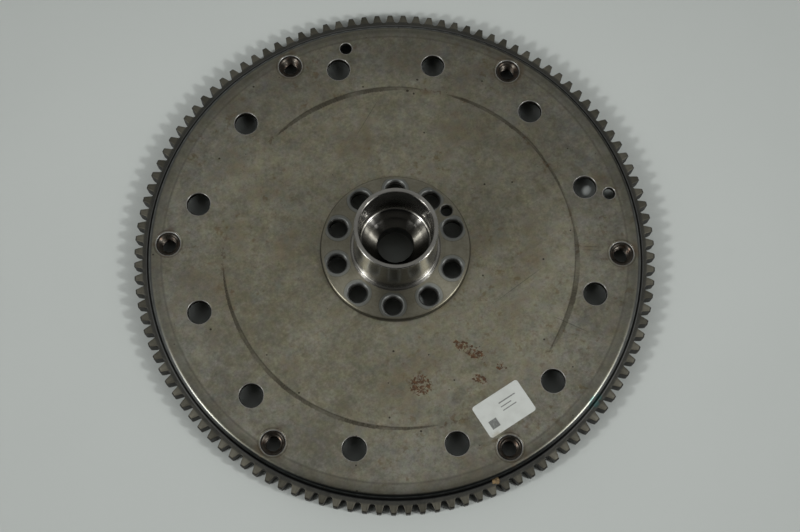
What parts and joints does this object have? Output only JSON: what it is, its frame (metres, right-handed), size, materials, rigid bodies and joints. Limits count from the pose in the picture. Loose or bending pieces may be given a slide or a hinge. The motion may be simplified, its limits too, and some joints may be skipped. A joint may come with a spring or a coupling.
{
  "type": "flexplate",
  "caption": "Pressed steel flexplate with a starter ring gear, a flanged hub with a socketed spigot, and threaded nuts for a torque converter.",
  "frame": {"origin": "on the axis, in the plane that the ring gear's lower face rests on", "axes": "+Z along the axis, out of the spigot's mouth; +X from the axis through one converter nut and one tooth"},
  "size_m": [0.2974, 0.2974, 0.0512],
  "materials": {
    "plate_steel": "used, stained and lightly worn",
    "gear_steel": "dull oxidised steel",
    "hub_steel": "turned and polished",
    "nut_steel": "brown oxide",
    "label_paper": "blank white adhesive label"
  },
  "bodies": {
    "root": {"drive_plate": "plate_steel", "ring_gear": "gear_steel", "hub": "hub_steel", "converter_nuts": "nut_steel"}
  },
  "joints": []
}
